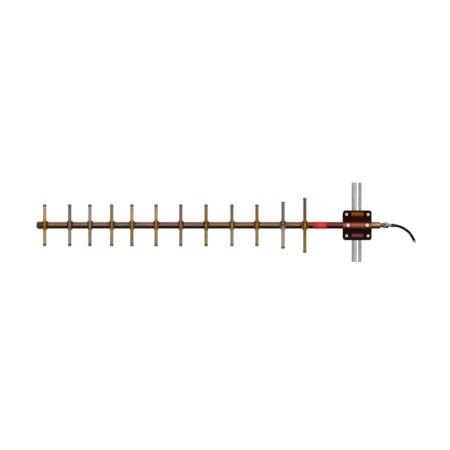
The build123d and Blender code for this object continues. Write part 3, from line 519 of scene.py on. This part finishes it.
def bolts_and_nuts():
    """Clamp bolts with threaded tails, and their nuts on the rear jaw."""
    low, high = (Vector(c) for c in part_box("clamp_bolts"))
    nut_low, nut_high = (Vector(c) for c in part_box("clamp_nuts"))
    flats, head, major = 10.0 * MM, 4.0 * MM, 3.0 * MM
    thread_start, thread_depth, pitch = 26 * MM, 0.55 * MM, 1.0 * MM
    rim = 0.1 * MM
    recess, recess_inner, recess_outer = 0.4 * MM, 3.0 * MM, 3.4 * MM
    bore, bore_chamfer = 3.1 * MM, 0.5 * MM
    face_share = 0.97
    seat = low.y + head
    spread = 40.0 * MM
    tail = high.y - seat
    thick = nut_high.y - nut_low.y
    face = flats / 2 * face_share
    thread = thread_rings(thread_start, tail - 0.8 * MM, major, thread_depth, pitch, count=48, steps=5)
    bolts, nuts = Shape(), Shape()
    for x in (-spread, spread):
        for z in (boom_z - spread, boom_z + spread):
            bolts.rings(Vector((x, seat, z)), BACK, [
                pole(-head + recess), circle(-head + recess, recess_inner), circle(-head, recess_outer),
                circle(-head, face), hex_rim(-head + rim, flats, -1), hexagon(0, flats),
                circle(0, major), circle(thread_start, major),
            ] + thread + [
                circle(tail - 0.6 * MM, 2.4 * MM), circle(tail, 2.1 * MM), pole(tail),
            ])
            nuts.rings(Vector((x, nut_low.y, z)), BACK, [
                circle(recess, bore), circle(0, bore + bore_chamfer), circle(0, face),
                hex_rim(rim, flats, -1), hex_rim(thick - rim, flats, 1), circle(thick, face),
                circle(thick, bore + bore_chamfer), circle(thick - recess, bore),
            ], loop=True)
    made = bolts.build("clamp_bolts_threaded", ZINC)
    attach(made, "antenna")
    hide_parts("clamp_bolts")
    made = nuts.build("clamp_nuts_chamfered", ZINC)
    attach(made, "rear_jaw")
    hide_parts("clamp_nuts")


def boom_jack():
    """Jack in the boom's end: stem, flanged neck and threaded barrel with its socket."""
    low, high = (Vector(c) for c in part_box("n_jack_body"))
    origin = Vector((low.x, boom_y, boom_z))
    neck = boom_high.x - low.x
    barrel = neck + 12 * MM
    face = high.x - low.x
    cavity = 36 * MM
    stem, flange, groove = 6 * MM, 8 * MM, 7.6 * MM
    stem_bore, cavity_radius = 3.6 * MM, 4.3 * MM
    thread = thread_rings(
        barrel + 0.2 * MM, face - 0.5 * MM, N_THREAD_RADIUS, N_THREAD_DEPTH, N_THREAD_PITCH, count=48
    )
    shape = Shape()
    shape.rings(origin, ALONG, [
        circle(0, stem_bore), circle(0, stem), circle(neck, stem), circle(neck, 7.7 * MM),
        circle(neck + 0.3 * MM, flange), circle(neck + 4.6 * MM, flange),
        circle(neck + 4.9 * MM, groove), circle(neck + 5.7 * MM, groove),
        circle(neck + 6 * MM, flange), circle(barrel - 0.6 * MM, flange), circle(barrel, 7.3 * MM),
    ] + thread + [
        circle(face, 7.0 * MM), circle(face, 4.6 * MM), circle(face - 0.3 * MM, cavity_radius),
        circle(cavity, cavity_radius), circle(cavity, stem_bore),
    ], loop=True)
    made = shape.build("boom_jack_threaded", BRONZE_PLATE)
    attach(made, "antenna")
    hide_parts("n_jack_body")


def coupling_nut():
    """Coupling nut: knurled front collar, groove, hexagonal rear and stepped bore."""
    low, high = (Vector(c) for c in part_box("plug_coupling_nut"))
    origin = Vector((low.x, boom_y, boom_z))
    length = high.x - low.x
    teeth, count = 48, 192
    knurl_root, knurl_rise = 10.35, 0.5
    knurl_places = ((1.2, 0.0), (1.5, 1.0), (3.0, 1.0), (4.5, 1.0), (6.0, 1.0), (7.5, 1.0), (7.8, 0.0))
    knurl = []
    for distance, lift in knurl_places:
        ring = []
        for i in range(count):
            ridge = abs(((i * teeth / count) % 1.0) * 2 - 1)
            ring.append((distance * MM, (knurl_root + knurl_rise * ridge * lift) * MM, math.tau * i / count))
        knurl.append(ring)
    flats, rear = 20 * MM, 9.6 * MM
    bore, lip_bore, lip = 8.05 * MM, 6.8 * MM, 14.6 * MM
    collar, collar_rim, waist = 10.65 * MM, 10.3 * MM, 9.6 * MM
    shape = Shape()
    shape.rings(origin, ALONG, [
        circle(0.3 * MM, bore, count), circle(0, 8.4 * MM, count), circle(0, collar_rim, count),
        circle(0.35 * MM, collar, count), circle(0.9 * MM, collar, count),
        circle(1.0 * MM, collar_rim, count),
    ] + knurl + [
        circle(8.2 * MM, waist, count), circle(9.2 * MM, waist, count),
        circle(9.3 * MM, 9.9 * MM, count), hex_rim(rear, flats, -1, count),
        hex_rim(length - 0.2 * MM, flats, 1, count), circle(length, 9.7 * MM, count),
        circle(length, 7.1 * MM, count), circle(length - 0.3 * MM, lip_bore, count),
        circle(lip, lip_bore, count), circle(lip, bore, count),
    ], loop=True)
    made = shape.build("coupling_nut_knurled", NICKEL)
    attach(made, "coupling_nut")
    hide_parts("plug_coupling_nut")


def red_wrap():
    """Shrink wrap round the boom: drawn-down ends and faint ripples."""
    low, high = (Vector(c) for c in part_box("red_band"))
    origin = Vector((low.x, boom_y, boom_z))
    length = high.x - low.x
    outer = (high.z - low.z) / 2
    inner = (boom_high.z - boom_low.z) / 2 + 0.02 * MM
    count, steps = 96, 40
    rings = [circle(0, inner, count)]
    for k in range(steps + 1):
        t = k / steps
        rise = min(1.0, t * 9, (1 - t) * 9) ** 0.5
        ring = []
        for i in range(count):
            angle = math.tau * i / count
            ripple = 0.05 * math.sin(9 * t * math.tau + 2.0 * math.sin(angle)) * math.sin(angle * 3)
            radius = inner + (outer - inner) * (0.35 + 0.55 * rise) + ripple * MM
            ring.append((t * length, radius, angle))
        rings.append(ring)
    rings.append(circle(length, inner, count))
    shape = Shape()
    shape.rings(origin, ALONG, rings, loop=True)
    made = shape.build("red_wrap_sleeve", wrap_finish())
    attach(made, "antenna")
    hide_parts("red_band")


# --- Pigtail: cable, crimp ferrule, boot and line jack ------------------------------------------------
CABLE_ROUTE = [
    (0.119, -0.036, 0.137), (0.139, -0.036, 0.137), (0.163, -0.036, 0.1315),
    (0.185, -0.036, 0.1185), (0.2005, -0.036, 0.104), (0.2135, -0.036, 0.0785),
]
CABLE_RADIUS = 5.15 * MM
BORE_GAP = 0.02 * MM


def route_curve(name, radius):
    """Smooth NURBS curve through the cable's route."""
    curve = bpy.data.curves.new(name, "CURVE")
    curve.dimensions = "3D"
    curve.resolution_u = 24
    curve.bevel_depth = radius
    curve.bevel_resolution = 8
    curve.use_fill_caps = radius > 0
    spline = curve.splines.new("NURBS")
    spline.points.add(len(CABLE_ROUTE) - 1)
    for point, place in zip(spline.points, CABLE_ROUTE):
        point.co = (*place, 1)
    spline.order_u = 3
    spline.use_endpoint_u = True
    piece = bpy.data.objects.new(name, curve)
    bpy.context.scene.collection.objects.link(piece)
    return piece


def centre_line():
    """Points along the cable's own spline."""
    bare = route_curve("bare_route", 0.0)
    mesh = bpy.data.meshes.new_from_object(bare)
    points = [v.co.copy() for v in mesh.vertices]
    bpy.data.objects.remove(bare)
    bpy.data.meshes.remove(mesh)
    return points


def boot():
    """Short tapered strain relief over the ferrule's rear, following the cable."""
    line = centre_line()
    start, end, ferrule_end = 126.5 * MM, 147.0 * MM, 130.3 * MM
    groove_depth, grooves = 0.22 * MM, 5
    over_ferrule, over_cable = 6.05 * MM, CABLE_RADIUS + 0.03 * MM
    stretch = [p for p in line if start <= p.x <= end]
    count = 40
    shape = Shape()
    span = stretch[-1].x - stretch[0].x
    for outward in (True, False):
        for p in stretch if outward else reversed(stretch):
            t = (p.x - stretch[0].x) / span
            outer = (6.75 - 0.35 * t - 0.65 * max(0.0, t - 0.2) / 0.8) * MM
            groove = 0.0
            if 0.25 < t < 0.95:
                groove = groove_depth * (0.5 + 0.5 * math.cos(t * grooves * math.tau))
            under = over_ferrule if p.x < ferrule_end else over_cable
            radius = outer - groove if outward else under
            ahead = line[min(line.index(p) + 1, len(line) - 1)] - line[max(line.index(p) - 1, 0)]
            ahead.normalize()
            side = BACK
            up = ahead.cross(side)
            for i in range(count):
                angle = math.tau * i / count
                shape.points.append(p + (side * math.cos(angle) + up * math.sin(angle)) * radius)
    total = len(shape.points) // count
    for r in range(total):
        for i in range(count):
            j = (i + 1) % count
            s = (r + 1) % total
            shape.faces.append([r * count + i, r * count + j, s * count + j, s * count + i])
    made = shape.build("cable_boot", BOOT, sharp_angle=50)
    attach(made, "plug")
    return made


def crimp_ferrule():
    """Crimp ferrule: round sleeve with a hexagonal crimp in its middle."""
    low, high = (Vector(c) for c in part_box("plug_ferrule"))
    origin = Vector((low.x, boom_y, boom_z))
    length = high.x - low.x
    count = 96
    bore = CABLE_RADIUS + BORE_GAP
    crimp_flats, outer = 11.1 * MM, 6.0 * MM

    def blend(distance, share):
        ring = []
        for i in range(count):
            angle = math.tau * i / count
            pressed = min(hex_radius(crimp_flats, angle), outer)
            ring.append((distance, outer + (pressed - outer) * share, angle))
        return ring

    shape = Shape()
    shape.rings(origin, ALONG, [
        circle(0, bore, count), circle(0, 5.8 * MM, count), circle(0.25 * MM, outer, count),
        blend(1.6 * MM, 0.0), blend(2.1 * MM, 1.0), blend(6.6 * MM, 1.0), blend(7.1 * MM, 0.0),
        circle(length - 0.3 * MM, outer, count), circle(length, 5.7 * MM, count),
        circle(length, bore, count),
    ], loop=True)
    made = shape.build("ferrule_crimped", PALE_NICKEL)
    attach(made, "plug")
    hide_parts("plug_ferrule")
    return made


def line_jack():
    """Jack on the cable's free end: ferrule, hexagonal body and threaded barrel."""
    end = Vector(CABLE_ROUTE[-1])
    heading = (end - Vector(CABLE_ROUTE[-2])).normalized()
    body, face = 2.5 * MM, 6.5 * MM
    flats, count = 10 * MM, 48
    major, depth, pitch = 3.175 * MM, 0.35 * MM, 0.706 * MM
    cavity, neck = 2.3 * MM, 2.8 * MM
    thread = thread_rings(body + 0.1 * MM, face - 0.3 * MM, major, depth, pitch, count=count)
    shape = Shape()
    shape.rings(end, heading, [
        circle(0, cavity), circle(0, flats / 2 * 0.96), hex_rim(0.1 * MM, flats, -1),
        hex_rim(body - 0.6 * MM, flats, 1), circle(body - 0.5 * MM, neck), circle(body, neck),
        circle(body, 3.0 * MM),
    ] + thread + [
        circle(face, neck), circle(face, 2.5 * MM), circle(face - 0.2 * MM, cavity),
    ], loop=True)
    jack = shape.build("line_jack_threaded", PALE_NICKEL)
    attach(jack, "plug")
    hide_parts("line_jack_body")
    sleeve = Shape()
    length = 2.5 * MM
    bore = CABLE_RADIUS + BORE_GAP
    sleeve.rings(end - heading * length, heading, [
        circle(0, bore), circle(0, 5.75 * MM), circle(0.25 * MM, 6 * MM),
        circle(length - 0.2 * MM, 6 * MM), circle(length, 5.8 * MM), circle(length, bore),
    ], loop=True)
    ferrule = sleeve.build("line_ferrule", PALE_NICKEL)
    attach(ferrule, "plug")
    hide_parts("line_jack_ferrule")
    return [jack, ferrule]


def pigtail():
    """The cable itself, with the fittings built on it."""
    cable = route_curve("pigtail_lead", CABLE_RADIUS)
    cable.data.materials.append(JACKET)
    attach(cable, "plug")
    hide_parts("pigtail_cable")
    fittings = [crimp_ferrule(), boot(), *line_jack()]
    fittings += [nodes["line_jack_insulator"], nodes["line_jack_contact"]]


pigtail()
bolts_and_nuts()
boom_jack()
coupling_nut()
red_wrap()


# --- Stage and light --------------------------------------------------------------------------------
def floor():
    """White floor below the antenna, lit by itself, that neither lights nor shades anything."""
    size, level = 12.0, -0.95
    mesh = bpy.data.meshes.new("floor")
    corners = [(-size, -size), (size, -size), (size, size), (-size, size)]
    mesh.from_pydata([(x, y, level) for x, y in corners], [], [(0, 1, 2, 3)])
    piece = bpy.data.objects.new("floor", mesh)
    bpy.context.scene.collection.objects.link(piece)
    finish = Finish("pale_floor", roughness=0.8, specular=0.1)
    finish.shader.inputs["Base Color"].default_value = (0.25, 0.25, 0.25, 1)
    finish.shader.inputs["Emission Color"].default_value = (1, 1, 1, 1)
    finish.shader.inputs["Emission Strength"].default_value = 1.0
    mesh.materials.append(finish.material)
    piece.visible_diffuse = False
    piece.visible_glossy = False
    piece.visible_shadow = False


PANEL_CENTRE_X = -0.5


def panel(name, azimuth, elevation, width, height, radiance, distance=4.0):
    """Soft box aimed at the antenna. Azimuth 0 is the camera's side, 90 is +X."""
    centre = Vector((PANEL_CENTRE_X, boom_y, boom_z))
    turn, rise = math.radians(azimuth), math.radians(elevation)
    heading = Vector((math.sin(turn) * math.cos(rise), -math.cos(turn) * math.cos(rise), math.sin(rise)))
    data = bpy.data.lights.new(name, "AREA")
    data.shape = "RECTANGLE"
    data.size = width
    data.size_y = height
    data.energy = radiance * math.pi * width * height
    light = bpy.data.objects.new(name, data)
    light.location = centre + heading * distance
    light.rotation_euler = (-heading).to_track_quat("-Z", "Y").to_euler()
    light.visible_camera = False
    bpy.context.scene.collection.objects.link(light)


def studio():
    """Soft boxes by azimuth, elevation, width, height and radiance, and a white world."""
    panel("key", 0, 44, 6.0, 2.8, 1.0)
    panel("front", 0, 8.5, 5.6, 2.7, 0.78)
    panel("right", 31, 5, 1.9, 4.6, 1.5)
    panel("left", -62, 5, 3.6, 4.6, 0.70)
    panel("far_right", 84, 5, 3.4, 4.6, 0.55)
    panel("far_left", -118, 5, 3.4, 4.6, 0.42)
    panel("rear_right", 135, 5, 3.4, 4.6, 0.55)
    panel("rear_left", -160, 5, 2.6, 4.6, 0.95)
    panel("behind", 175, 30, 6.0, 2.4, 0.85)
    panel("top_behind", 180, 66, 6.0, 2.6, 0.9)
    world = bpy.data.worlds.new("white_studio")
    world.use_nodes = True
    world.node_tree.nodes["Background"].inputs["Color"].default_value = (1, 1, 1, 1)
    world.node_tree.nodes["Background"].inputs["Strength"].default_value = 1.0
    world.cycles_visibility.diffuse = False
    world.cycles_visibility.glossy = False
    bpy.context.scene.world = world


floor()
studio()
